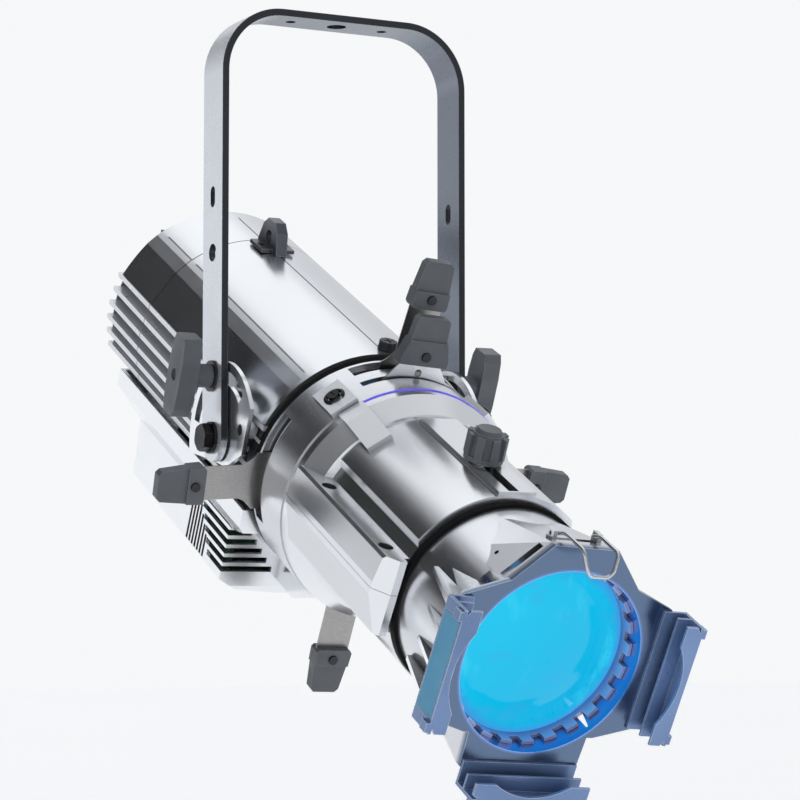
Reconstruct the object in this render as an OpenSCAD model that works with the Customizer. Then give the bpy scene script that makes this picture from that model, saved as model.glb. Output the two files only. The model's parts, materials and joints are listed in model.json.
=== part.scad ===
// Ellipsoidal (profile) spotlight with an LED light engine, hung on a flat-bar yoke.
// World frame: origin at the hanging hole, on the top face of the yoke, +Z up,
// the beam leaves towards -Y and the pivot lies straight below the origin.
// Beam frame, used by most modules: X across, Y up, Z forward along the beam,
// with its origin on the pivot axis. "Right" means +X, "left" means -X.

/* [Yoke] */
// Height of the top face above the pivot axis
pivot_drop = 293.2; // [285:1:310]
// Distance from the centre plane to the outer face of an arm
arm_out = 92.5; // [92.4:0.1:96]
// Width of the flat bar
bar_width = 31.75; // [28:0.25:34]
// Thickness of the flat bar
bar_thickness = 4.76; // [4.5:0.01:4.8]
// Outer radius of the two bends
bend_radius = 45; // [30:1:60]
// Diameter of the hanging hole
hang_dia = 13.5; // [10:0.5:16]
// Downward tilt of the beam
tilt = 26.9; // [0:0.1:60]
// Distance from the pivot to the tilt clamp stud
stud_dist = 41.5; // [40:0.5:43]

/* [Housing] */
// Outer radius of the rear housing
housing_radius = 82.5; // [82:0.1:83]
// Rear end of the housing, measured back from the pivot
rear_end = 250; // [245:1:252]
// Number of cooling fins on each side
fin_count = 6; // [4:1:6]
// Thickness of one cooling fin
fin_thickness = 3.6; // [2:0.1:3.8]

/* [Barrel] */
// Turn of the barrel about the beam
barrel_turn = -4; // [-20:1:20]
// Outer radius of the shutter cover
cover_radius = 81.4; // [80:0.1:81.5]
// Outer radius of the barrel shells
barrel_radius = 67; // [66:0.5:68]
// Outer radius of the lens tube
tube_radius = 61.5; // [60:0.1:61.5]
// Radial gap of the running fits
run_gap = 0.06; // [0.02:0.01:0.09]

/* [Front] */
// Front face of the tube front, measured from the pivot
face_z = 326; // [324:1:327]
// Side of the square colour frame
frame_side = 158.75; // [150:0.25:159]
// Radius of the light opening
open_radius = 59.6; // [59.5:0.1:60]

/* [Shutters] */
// Angle of the left shutter
left_angle = 184.2; // [176:0.1:186]
// Angle of the right shutter
right_angle = -1.3; // [-5:0.1:5]
// Angle of the bottom shutter
bottom_angle = 268.4; // [265:0.1:275]
// Angle of the top shutter
top_angle = 85; // [84:0.1:94]

/* [Hidden] */
arm_in = arm_out - bar_thickness;
rear_z = -rear_end;
bore_radius = tube_radius + 0.1;  // barrel bore round the lens tube
channel_in = frame_side/2 + 0.8;  // inner face of a frame channel's outer wall
channel_out = channel_in + 2.2;

// fasteners, as radii
pivot_radius = 5;
pivot_bore = 5.03;
stud_radius = 4;
screw_radius = 2;
screw_hole = 2.05;
rivet_radius = 1.95;
gate_screw_hole = 1.7;
gate_screw_ring = 72.8;  // radius of the circle the gate screw holes lie on

// places shared between pieces
side_screws = [[-16, -34], [18, 28]];  // [y, z] beside the pivot
eyelet_z = -161;
eyelet_screw_x = 9;
seam = [-179, -178];         // cross seam of the rear housing
casting_front = 43.8;
lock_x = 5;
lock_z = 34;
fan_y = 8;
fan_screw_offset = 35;
button_y = 29;
socket_x = [-40, -13.5, 13.5, 40];
pad_angles = [48, 132];      // pads of the shutter cover
pad_screw_z = 84;
shutter_z = [56, 59, 62, 65];  // rear faces of the blades
holder_z = 79.9;             // rear face of the pattern holder
holder_rivet_y = 97.5;
focus_z = 196;
flange_screw_x = 72;
flange_screw_z = [138, 226];
clip_pivot_y = 75.6;
clip_pivot_z = face_z - 17;

casting_white = [0.9, 0.91, 0.93];
blade_steel = [0.62, 0.61, 0.6];
dark_plastic = [0.14, 0.14, 0.15];

$fn = 72;

// ---------- frames and shared shapes ----------

// world axes, with the origin on the pivot axis
module pivot() translate([0, 0, -pivot_drop]) children();
module beam() pivot() rotate([tilt, 0, 0]) rotate([90, 0, 0]) children();
// beam frame turned about the beam
module turned(angle) beam() rotate([0, 0, angle]) children();
module barrel() turned(barrel_turn) children();
// undoes the barrel's turn, so that the focus parts stay on top
module at_focus() rotate([0, 0, -barrel_turn]) children();
module both_sides() {
    children();
    mirror([1, 0, 0]) children();
}

function span(half) = [-half, half];
// closed outline from its +X half
function mirrored(half) = concat([for (p = half) [-p[0], p[1]]],
    [for (i = [len(half) - 1:-1:0]) half[i]]);

// box from its [min, max] along each axis
module box(x, y, z) translate([x[0], y[0], z[0]]) cube([x[1] - x[0], y[1] - y[0], z[1] - z[0]]);
module x_cyl(radius, from, to, y = 0, z = 0)
    translate([from, y, z]) rotate([0, 90, 0]) cylinder(r = radius, h = to - from);
module y_cyl(radius, from, to, x = 0, z = 0)
    translate([x, from, z]) rotate([-90, 0, 0]) cylinder(r = radius, h = to - from);
module z_cyl(radius, from, to, x = 0, y = 0)
    translate([x, y, from]) cylinder(r = radius, h = to - from);
module tube(inner, outer, from, to) translate([0, 0, from]) difference() {
    cylinder(r = outer, h = to - from);
    translate([0, 0, -1]) cylinder(r = inner, h = to - from + 2);
}
module hex(flats, height) cylinder(d = flats/cos(30), h = height, $fn = 6);
// four holes along Z, on the diagonals of a circle
module ring_holes(radius, ring, from, to)
    for (angle = [45, 135, 225, 315]) rotate([0, 0, angle]) z_cyl(radius, from, to, ring);
module cross_recess(length, width, depth) {
    cube([length, width, depth], center = true);
    cube([width, length, depth], center = true);
}

// ---------- yoke ----------

// filled arch: half width, height of its top and bend radius
module yoke_2d(out, top, radius) {
    bend_x = out - radius;
    translate([-out, -400]) square([2*out, 400 - radius + top]);
    translate([-bend_x, top - radius - 1]) square([2*bend_x, radius + 1]);
    for (side = [-1, 1]) translate([side*bend_x, top - radius]) circle(r = radius);
}
module yoke_bar() color([0.74, 0.77, 0.82]) {
    across = span(120);
    slot_radius = 3.75;
    slot_z = [159.6, 166.4];
    difference() {
        intersection() {
            rotate([90, 0, 0]) linear_extrude(bar_width, center = true) difference() {
                yoke_2d(arm_out, 0, bend_radius);
                yoke_2d(arm_in, -bar_thickness, bend_radius - bar_thickness);
            }
            // arms end in a half round about the pivot
            union() {
                box(across, span(bar_width/2), [-pivot_drop, 400 - pivot_drop]);
                pivot() x_cyl(bar_width/2, across[0], across[1]);
            }
        }
        z_cyl(hang_dia/2, -20, 20);
        for (x = [-35, 35]) z_cyl(3.5, -20, 20, x);
        pivot() {
            x_cyl(pivot_radius + run_gap, across[0], across[1]);
            x_cyl(stud_radius + run_gap, across[0], across[1], 0, stud_dist);
            // round-ended slot in each arm
            for (z = slot_z) x_cyl(slot_radius, across[0], across[1], 0, z);
            box(across, span(slot_radius), slot_z);
            // hole in the left arm only
            x_cyl(6, across[0], -60, 0, 125);
        }
    }
}
// square nuts behind the quadrant plates, threaded on the clamp studs
module clamp_nuts() color([0.6, 0.6, 0.62]) pivot() both_sides() difference() {
    box([78.2, 83.2], span(7), [stud_dist - 7, stud_dist + 7]);
    x_cyl(stud_radius + run_gap, 70, 90, 0, stud_dist);
}
// T-shaped handle with its moulded-in stud and dark washer
module tee() {
    color([0.36, 0.38, 0.4]) difference() {
        union() {
            x_cyl(stud_radius, 78.6, 108, 0, stud_dist);
            x_cyl(8, arm_out + 1.8, 108, 0, stud_dist);
            translate([113.6, 0, stud_dist]) rotate([25, 0, 0]) rotate([0, 90, 0])
                linear_extrude(13, center = true) polygon(mirrored([[10, -11], [22, -9.5],
                    [27.5, -7], [27.5, 7], [22, 9.5], [10, 11]]));
        }
        x_cyl(4.2, 118.4, 130, 0, stud_dist);
    }
    color([0.08, 0.08, 0.08]) difference() {
        x_cyl(10.5, arm_out + 0.1, arm_out + 1.7, 0, stud_dist);
        x_cyl(stud_radius + run_gap, 60, 130, 0, stud_dist);
    }
}
module tee_handle_right() pivot() tee();
module tee_handle_left() pivot() mirror([1, 0, 0]) tee();

// ---------- rear housing ----------

cowl_bottom = 28.2;
floor_y = [-35.6, -33.1];
panel_x = 50;          // half width of the control panel opening
panel_y = [20, 62];

// outline of the top shell: round crown, narrow chamfer, flat lower facet
module cowl_2d(inset = 0) intersection() {
    circle(r = housing_radius - inset, $fn = 144);
    polygon(mirrored([[77.5 - inset, 28], [62.6 - inset*0.86, 53.4 - inset*0.5],
        [56 - inset*0.7, 60.5 - inset*0.7], [56 - inset*0.7, 100]]));
}
module cowl_shell(from, to) difference() {
    translate([0, 0, from]) linear_extrude(to - from) cowl_2d();
    translate([0, -0.01, from - 1]) linear_extrude(to - from + 2) cowl_2d(3);
    box(span(90), [20, cowl_bottom], [from - 1, to + 1]);
}
// long grooves beside the crown and one along its top
module grooves(from, to) {
    both_sides() translate([-52.5, 63.9, from]) rotate([0, 0, 45])
        translate([-0.6, -0.9, 0]) cube([1.2, 2, to - from]);
    box(span(0.5), [housing_radius - 1.1, 90], [from, to]);
}
module front_cowl() color(casting_white) beam() difference() {
    union() {
        cowl_shell(seam[1], 44);
        intersection() {
            tube(70.1, housing_radius, 40, 44);
            box(span(90), [cowl_bottom, 90], [30, 50]);
        }
    }
    grooves(-170, 36);
    // seat of the barrel lock and screw clearances
    y_cyl(3 + run_gap, 60, 100, lock_x, lock_z);
    for (side = [-1, 1]) y_cyl(screw_hole, 60, 100, side*eyelet_screw_x, eyelet_z);
}
module at_fan_screws() for (x = span(fan_screw_offset)) for (y = span(fan_screw_offset))
    translate([x, fan_y + y, 0]) children();
module rear_cap() color(casting_white) beam() {
    wall_cut = [rear_z - 1, rear_z + 5];
    difference() {
        intersection() {
            union() {
                cowl_shell(rear_z, seam[0]);
                // rear wall
                translate([0, 0, rear_z]) linear_extrude(3) union() {
                    cowl_2d();
                    translate([-77.5, -33]) square([155, 61.5]);
                    translate([-66, floor_y[0]]) square([132, 5]);
                }
                // skin behind the chamfer
                difference() {
                    translate([0, 0, rear_z]) linear_extrude(14) cowl_2d();
                    translate([0, 0, rear_z]) cylinder(r1 = 70.2, r2 = 83.03, h = 14);
                    box(span(90), [20, cowl_bottom], [rear_z + 2.9, -200]);
                }
                // floor behind the lower housing
                box(span(66), floor_y, [rear_z, -206.2]);
            }
            // conical chamfer round the rear edge
            union() {
                translate([0, 0, rear_z]) cylinder(r1 = 74, r2 = 96, h = 24);
                z_cyl(110, rear_z + 23.99, 0);
            }
        }
        grooves(rear_z + 22, seam[0]);
        at_fan_screws() z_cyl(screw_hole, wall_cut[0], wall_cut[1]);
        box(span(panel_x), panel_y, wall_cut);
        // fan air slots
        for (i = [-4:4]) box([i*8 - 2, i*8 + 2], [-24, 12], wall_cut);
    }
}

function fin_y(i) = 26 - i*10.9;
function fin_tip(y) = sqrt(81.6*81.6 - y*y) + (y > 20 ? 1 : 0);
module pivot_bosses(from, to, pivot_from, pivot_to) {
    x_cyl(13, pivot_from, pivot_to);
    for (p = side_screws) x_cyl(6, from, to, p[0], p[1]);
}
// right panel; the left one is its mirror image
module fin_panel() {
    along = [rear_z + 3.4, casting_front];
    difference() {
        union() {
            box([62, 66], [-33, 28], along);
            for (i = [0:fin_count - 1]) box([65.9, fin_tip(fin_y(i))],
                [fin_y(i) - fin_thickness/2, fin_y(i) + fin_thickness/2], along);
            pivot_bosses(63, 83.4, 63, 83.4);
        }
        // cross seam between the rear and the front castings
        for (i = [0:fin_count - 1])
            box([fin_tip(fin_y(i)) - 2, 90], [fin_y(i) - 3, fin_y(i) + 3], seam);
        // pocket behind the quadrant plate for the clamp nut
        difference() {
            x_cyl(53, 77.6, 90);
            pivot_bosses(70, 91, 70, 91);
        }
        // room for the bearing ring
        z_cyl(78.9, 28.5, 50);
        x_cyl(pivot_bore, 60, 90);
        for (p = side_screws) x_cyl(screw_hole, 60, 90, p[0], p[1]);
    }
}
module fin_panel_right() color([0.87, 0.88, 0.9]) beam() fin_panel();
module fin_panel_left() color([0.87, 0.88, 0.9]) beam() mirror([1, 0, 0]) fin_panel();

// lower housing: cross-section [x, y] and side profile [z, y], wall is the inward offset
module lower_section(wall) polygon(mirrored([
    [80 - wall, -33.2 + wall*4], [80 - wall, -46 + wall*0.4],
    [58 - wall, -72 + wall*0.4], [58 - wall, -113 + wall*0.5],
    [44 - wall*0.6, -121 + wall], [12, -124 + wall]]));
module lower_side(wall) polygon([
    [-206 + wall, -10], [-206 + wall, -50], [-196 + wall, -118 + wall], [-190, -130 + wall],
    [-20, -130 + wall], [-16 - wall, -118 + wall*0.3], [-16 - wall, -74],
    [casting_front - wall, -50], [casting_front - wall, -10]]);
module lower_body(wall) intersection() {
    translate([0, 0, -260]) linear_extrude(320) lower_section(wall);
    rotate([0, -90, 0]) linear_extrude(200, center = true) lower_side(wall);
}
// centre of the sloping rear face, Z along its outward normal
module rear_face() translate([0, -84, -201]) rotate([171.63, 0, 0]) children();
module lower_housing() color([0.92, 0.93, 0.95]) beam() difference() {
    union() {
        difference() {
            lower_body(0);
            lower_body(3);
            z_cyl(79, -15, 60);
        }
        // round belly under the shutter end
        intersection() {
            tube(79, housing_radius, -15, casting_front);
            box(span(90), [-90, -33.3], [-20, 60]);
        }
        // nose rib
        difference() {
            box(span(15), [-112, -76], [-16.5, casting_front]);
            z_cyl(79.5, -20, 60);
            translate([0, -93, casting_front]) rotate([-33, 0, 0])
                box(span(20), [-60, 0], [-80, 40]);
        }
    }
    both_sides() {
        // side louvres: upright slots behind a mitre, long slots in front of it
        for (i = [0:6])
            box([50, 70], [-112 + i*0.01, -68 - max(0, i - 1)*5.4], [-84 + i*5.2, -80.8 + i*5.2]);
        for (i = [0:5]) {
            slot_y = [-107 + i*6.9, -102.8 + i*6.9];
            box([50, 70], slot_y, [-44 - i*5.2, -12]);
            // front louvres, running in from the corners
            box([20 + i*5, 54], slot_y, [-22, -12]);
        }
    }
    rear_face() for (x = socket_x) z_cyl(11.2, -8, 8, x);
}
module safety_eyelet() color([0.85, 0.87, 0.89]) beam() {
    foot_y = housing_radius + 0.2;
    difference() {
        union() {
            translate([-4.25, 0, eyelet_z]) rotate([0, 90, 0]) linear_extrude(8.5)
                polygon(mirrored([[18, foot_y], [13, 98], [6, 104]]));
            box(span(13), [foot_y, housing_radius + 3], [-172, -150]);
        }
        x_cyl(5.5, -10, 10, 91, eyelet_z);
        // countersunk screw holes
        for (side = [-1, 1]) {
            y_cyl(screw_hole, 70, 88, side*eyelet_screw_x, eyelet_z);
            translate([side*eyelet_screw_x, 83.52, eyelet_z]) rotate([-90, 0, 0])
                cylinder(r1 = screw_hole, r2 = 3.62, h = 2);
        }
    }
}
// flat plate with an arc slot; x of the sketch runs forward along the beam
module quadrant_2d() difference() {
    union() {
        circle(r = 17);
        // sector that holds the arc slot
        intersection() {
            circle(r = 52);
            polygon([[0, -17], [-60, -34], [-62, 62], [36, 62], [38, 4], [17, -14]]);
        }
    }
    // arc slot for the clamp stud
    intersection() {
        difference() {
            circle(r = stud_dist + 4.4, $fn = 120);
            circle(r = stud_dist - 4.4, $fn = 120);
        }
        polygon([[0, 0], [-120, -16], [-120, 120], [66, 120]]);
    }
    circle(r = pivot_bore);
    for (p = side_screws) translate([p[1], p[0]]) circle(r = screw_hole);
}
module quadrant_plates() color([0.93, 0.94, 0.96]) beam() both_sides()
    translate([83.5, 0, 0]) difference() {
        rotate([0, 90, 0]) linear_extrude(3) mirror([1, 0, 0]) quadrant_2d();
        for (p = side_screws) x_cyl(3.8, 1.6, 4, p[0], p[1]);
    }
module pivot_bolts() color([0.12, 0.12, 0.13]) beam() both_sides() union() {
    x_cyl(pivot_radius, 64, arm_out + 2.4);
    // hexagon head with a chamfered rim
    translate([arm_out + 2.3, 0, 0]) rotate([0, 90, 0]) rotate([0, 0, 20]) intersection() {
        hex(17, 6.4);
        translate([0, 0, -1]) cylinder(r1 = 13, r2 = 8.6, h = 8.2);
    }
}
module pivot_washer(radius, from, to) difference() {
    x_cyl(radius, from, to);
    x_cyl(pivot_radius + run_gap, 60, 120);
}
module pivot_washers() color([0.16, 0.16, 0.17]) beam() both_sides() {
    pivot_washer(10.8, arm_out + 0.1, arm_out + 2.2);
    pivot_washer(15, 86.6, arm_in - 0.1);
}
// cross-recess screw along Z, its head starts at the given length
module cross_screw(head_radius, length) difference() {
    union() {
        cylinder(r = screw_radius, h = length);
        translate([0, 0, length - 0.01]) cylinder(r1 = head_radius, r2 = head_radius*0.62, h = 2);
    }
    translate([0, 0, length + 1.6]) cross_recess(head_radius*1.3, 0.9, 1.6);
}
module countersunk_screw() difference() {
    union() {
        cylinder(r = screw_radius, h = 10);
        translate([0, 0, 9.6]) cylinder(r1 = screw_radius, r2 = 3.4, h = 1.8);
    }
    translate([0, 0, 11.2]) cross_recess(4, 0.9, 1.6);
}
module housing_screws() color(dark_plastic) beam() {
    at_fan_screws() translate([0, 0, -218]) rotate([180, 0, 0])
        cross_screw(3.6, rear_end - 217.9);
    for (side = [-1, 1]) translate([side*eyelet_screw_x, 74, eyelet_z]) rotate([-90, 0, 0])
        countersunk_screw();
    // slotted screws of the quadrant plates
    both_sides() for (p = side_screws) translate([0, p[0], p[1]]) difference() {
        union() {
            x_cyl(screw_radius, 74, 85.3);
            x_cyl(3.6, 85.2, 86.4);
        }
        translate([86.4, 0, 0]) rotate([20, 0, 0]) cube([1.4, 4.8, 0.9], center = true);
    }
}

// ---------- inside the rear housing ----------

module heat_sink() color([0.62, 0.63, 0.65]) beam() difference() {
    union() {
        z_cyl(24, -205, -112);
        z_cyl(57, -118, -112);
        for (angle = [0:15:345]) rotate([0, 0, angle]) box([20, 56], span(1), [-200.5, -117]);
    }
    ring_holes(1.65, 50, -130, -100);
}
// round board with a hexagonal array of LEDs on its front
module led_board() color([0.93, 0.93, 0.9]) beam() {
    half = 1.8;
    difference() {
        z_cyl(55, -111.9, -110.1);
        ring_holes(2.1, 50, -130, -100);
    }
    for (i = [-3:3]) for (j = [-3:3]) if (abs(i + j) < 4) {
        x = i*9 + j*4.5;
        y = j*7.8;
        box([x - half, x + half], [y - half, y + half], [-110.2, -109]);
    }
}
// profile as [radius, z]
module mixing_tube() color([0.88, 0.89, 0.92]) beam() rotate_extrude($fn = 96)
    polygon([[50, -108.6], [54, -108.6], [54, -104], [52, -104], [45.5, -20], [50, -20],
        [50, -1], [47.6, -1], [47.6, -17.6], [43.5, -17.6]]);
module collimator_lens() color([0.8, 0.9, 0.95, 0.5]) beam() intersection() {
    z_cyl(47.4, -17.4, -1);
    translate([0, 0, -103]) sphere(r = 100, $fn = 144);
}
module fan_frame() color([0.13, 0.13, 0.14]) beam() difference() {
    translate([0, fan_y, 0]) {
        difference() {
            box(span(40), span(40), [-241, -217]);
            z_cyl(37.5, -242, -216);
        }
        // hub, its arms and the spindle
        z_cyl(15, -241, -238);
        for (angle = [30, 120, 210, 300]) rotate([0, 0, angle])
            box([13, 39], span(2), [-241, -238]);
        z_cyl(2, -240, -219);
    }
    at_fan_screws() z_cyl(2.2, -250, -210);
}
module fan_rotor() color([0.2, 0.2, 0.22]) beam() translate([0, fan_y, 0]) difference() {
    union() {
        z_cyl(15, -237.4, -220);
        for (angle = [0:40:320]) rotate([0, 0, angle]) translate([23, 0, -228.5])
            rotate([38, 0, 0]) cube([24, 1.6, 14], center = true);
    }
    z_cyl(2 + run_gap, -240, -217);
    // ring hollow round the spindle sleeve
    difference() {
        z_cyl(12.5, -238, -223);
        z_cyl(4.5, -239, -222);
    }
}
// board with its standoffs below and components on top
module power_board() color([0.1, 0.35, 0.2]) beam() {
    top_y = -96.3;
    box(span(45), [-98, -96.2], [-184, -40]);
    for (x = [-38, 38]) for (z = [-170, -50]) y_cyl(3, -117.8, -97.9, x, z);
    box([-30, -8], [top_y, -76], [-140, -112]);
    box([2, 26], [top_y, -82], [-130, -80]);
    for (z = [-100, -84]) y_cyl(5, top_y, -78, -20, z);
    box(span(34), [top_y, -92], [-176, -168]);
}

function button_x(i) = -27 + i*18;
module rear_panel() color([0.15, 0.15, 0.16]) beam() {
    cut = [rear_z - 1, rear_z + 5];
    difference() {
        box(span(panel_x - 0.1), [panel_y[0] + 0.1, panel_y[1] - 0.1], [rear_z, rear_z + 2.6]);
        box(span(30), [38, 56], cut);
        for (i = [0:3]) z_cyl(3.6, cut[0], cut[1], button_x(i), button_y);
        for (x = span(fan_screw_offset))
            z_cyl(screw_hole, cut[0], cut[1], x, fan_y + fan_screw_offset);
    }
}
module display_window() color([0.1, 0.2, 0.3, 0.8]) beam()
    box(span(29.9), [38.1, 55.9], [rear_z + 0.3, rear_z + 2.3]);
module button(i) color([0.75, 0.76, 0.78]) beam() {
    z_cyl(3.5, rear_z - 2, rear_z + 2.8, button_x(i), button_y);
    z_cyl(4.6, rear_z + 2.7, rear_z + 3.6, button_x(i), button_y);
}
module button_1() button(0);
module button_2() button(1);
module button_3() button(2);
module button_4() button(3);

// panel socket: flange outside the wall, body through the hole
module socket_shell() difference() {
    union() {
        box(span(12.5), span(14.5), [0.1, 2.1]);
        z_cyl(11, -14, 2);
        z_cyl(11.8, 2, 4.4);
    }
    z_cyl(9, -9, 11);
    for (angle = [45, 225]) z_cyl(1.5, -1, 8, 10.2*cos(angle), 12.4*sin(angle));
}
module socket_pins(count) for (i = [0:count - 1])
    translate([5*cos(i*360/count), 5*sin(i*360/count), -9.01]) cylinder(r = 1.1, h = 8);
module sockets(places, pin_count) beam() rear_face()
    for (i = places) translate([socket_x[i], 0, 0]) {
        socket_shell();
        socket_pins(pin_count);
    }
module power_sockets() color([0.12, 0.2, 0.45]) sockets([0, 1], 3);
module data_sockets() color(dark_plastic) sockets([2, 3], 5);

// ---------- turning joint between housing and barrel ----------

module bearing_ring() color([0.5, 0.5, 0.52]) beam() difference() {
    tube(70 + run_gap, 78, 30, 39.8);
    y_cyl(3 + run_gap, 60, 90, lock_x, lock_z);
}
module rotation_seal() color([0.05, 0.05, 0.06]) beam() tube(74, 79.7, 44.1, 51.9);
module lock_knob() color([0.2, 0.2, 0.21]) beam()
    translate([lock_x, 0, lock_z]) rotate([-90, 0, 0]) difference() {
        union() {
            z_cyl(3, 72.5, 84.5);
            z_cyl(6.4, 82.9, 84.3);
            z_cyl(5.4, 84.2, 88.4);
            for (angle = [0:30:330]) rotate([0, 0, angle]) z_cyl(0.9, 84.2, 88.4, 5.2);
        }
        translate([0, 0, 88.4]) cross_recess(8, 1.2, 2);
    }

// ---------- shutter section ----------

module shutter_cover() color([0.93, 0.94, 0.96]) barrel() difference() {
    union() {
        tube(76, cover_radius, 52.4, 100.3);
        // spigot that turns in the bearing ring
        tube(66, 70, 29, 53);
        tube(66, 79, 52.4, 53.2);
        // pads on the upper left and right, each with a retaining screw
        for (angle = pad_angles) rotate([0, 0, angle]) box([77, 84.6], span(10), [68.4, 99.9]);
    }
    // slots for the four shutters, and one at the top for the pattern holder
    for (angle = [0, 90, 180, 270]) rotate([0, 0, angle])
        box([60, 100], span(37), [54.9, 66.9]);
    box(span(38), [60, 100], [77.5, 83.5]);
    z_cyl(66, 20, 60);
    z_cyl(76, 53.2, 110);
    for (angle = pad_angles) rotate([0, 0, angle]) x_cyl(2.1, 70, 90, 0, pad_screw_z);
    ring_holes(gate_screw_hole, gate_screw_ring, 40, 60);
}
module gate_plates() color([0.3, 0.3, 0.32]) barrel() difference() {
    union() {
        tube(38, 75.9, 53.4, 55.6);
        tube(38, 75.9, 66.2, 68);
        // side rails that guide the pattern holder
        both_sides() box([35.4, 39], [-44, 58], [67.9, 84]);
    }
    both_sides() box([30, 37.2], [-41, 70], [79.3, 81.7]);
    ring_holes(gate_screw_hole, gate_screw_ring, 50, 70);
}
module shutter_spacers() color([0.72, 0.72, 0.74]) barrel() for (i = [0:2]) difference() {
    tube(40, 75.9, shutter_z[i] + 1.05, shutter_z[i] + 2.75);
    ring_holes(gate_screw_hole, gate_screw_ring, 50, 70);
}

// shutters as [angle, rear face of the blade, inner end of the grip];
// in a shutter's own frame X points outwards from the beam
left_shutter = [left_angle, shutter_z[0], 119];
right_shutter = [right_angle, shutter_z[1], 119];
top_shutter = [top_angle, shutter_z[2], 124];
bottom_shutter = [bottom_angle, shutter_z[3], 124];
grip_rivet = 7;  // from the inner end of the grip
// grip outline as [half width, distance from the inner end]
grip_half = [[11.5, 0], [13, 2], [12.5, 12], [10.5, 30], [8, 32.5]];

module blade_2d(grip_x) {
    // tip in the gate
    intersection() {
        circle(r = 74, $fn = 120);
        translate([39.5, -36]) square([40, 72]);
        polygon([[30, -40], [66, -40], [74, -24], [80, -24],
            [80, 24], [74, 24], [66, 40], [30, 40]]);
    }
    // neck and the tongue that reaches into the grip
    translate([68, -20]) square([13, 40]);
    translate([80, -12]) square([grip_x - 67, 24]);
    // flared root
    difference() {
        translate([80.5, -20]) square([16, 40]);
        for (side = [-1, 1]) translate([98, side*28.5]) circle(r = 17.2);
    }
}
module blade(shutter) color(blade_steel) turned(shutter[0]) difference() {
    translate([0, 0, shutter[1]]) linear_extrude(0.8) blade_2d(shutter[2]);
    z_cyl(screw_hole, 0, 100, shutter[2] + grip_rivet);
}
module rivet(shank_half, head_z) color([0.2, 0.2, 0.21]) {
    z_cyl(rivet_radius, -shank_half, shank_half);
    for (z = [-head_z - 1.3, head_z]) translate([0, 0, z]) cylinder(r = 3.1, h = 1.3);
}
// moulded grip: block with stepped faces, a pocket for the blade and a rivet
module grip(shutter) turned(shutter[0]) translate([0, 0, shutter[1] + 0.4]) {
    grip_x = shutter[2];
    color([0.42, 0.44, 0.47]) difference() {
        linear_extrude(11, center = true)
            polygon([for (p = mirrored(grip_half)) [grip_x + p[1], p[0]]]);
        // thinner thumb end
        for (z = [-8.6, 3.6]) translate([grip_x + 12, -20, z]) cube([30, 40, 5]);
        box([grip_x - 1, grip_x + 15], span(12.15), span(0.55));
        z_cyl(screw_hole, -10, 10, grip_x + grip_rivet);
    }
    translate([grip_x + grip_rivet, 0, 0]) rivet(6.2, 5.6);
}
module shutter_left_blade() blade(left_shutter);
module shutter_left_grip() grip(left_shutter);
module shutter_right_blade() blade(right_shutter);
module shutter_right_grip() grip(right_shutter);
module shutter_bottom_blade() blade(bottom_shutter);
module shutter_bottom_grip() grip(bottom_shutter);
module shutter_top_blade() blade(top_shutter);
module shutter_top_grip() grip(top_shutter);

module pattern_holder() color([0.9, 0.9, 0.92]) barrel() difference() {
    union() {
        box(span(37), [-40, 66], [holder_z, holder_z + 1.2]);
        box(span(24), [65, 78], [holder_z, holder_z + 1.2]);
        translate([0, 0, holder_z]) linear_extrude(1.2)
            polygon(mirrored([[24, 77], [15, 90], [13, 106]]));
    }
    z_cyl(30, 70, 90);
    z_cyl(2.6, 70, 90, 0, 84.5);
    z_cyl(screw_hole, 70, 90, 0, holder_rivet_y);
}
module pattern_grip() barrel() translate([0, 0, holder_z + 0.6]) {
    color([0.4, 0.42, 0.45]) difference() {
        linear_extrude(10, center = true)
            polygon(mirrored([[17, 91], [17.5, 95], [13, 110], [12, 122], [10, 124]]));
        // pocket for the holder's tongue
        translate([0, 0, -0.75]) linear_extrude(1.5)
            polygon(mirrored([[15.3, 89.8], [13.2, 106.8]]));
        z_cyl(screw_hole, -10, 10, 0, holder_rivet_y);
        for (z = [-8.4, 3.4]) translate([-20, 108, z]) cube([40, 30, 5]);
    }
    translate([0, holder_rivet_y, 0]) rivet(5.8, 5.1);
}

// ---------- barrel ----------

// shell of revolution as [radius, z]
barrel_profile = [[64.5, 103], [76, 103], [76, 100.4], [80.6, 100.4], [80.6, 108], [72, 122],
    [barrel_radius, 124], [barrel_radius, 242], [bore_radius, 242], [bore_radius, 228],
    [64.5, 225], [64.5, 193], [bore_radius, 190], [bore_radius, 184], [64.5, 181]];

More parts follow.
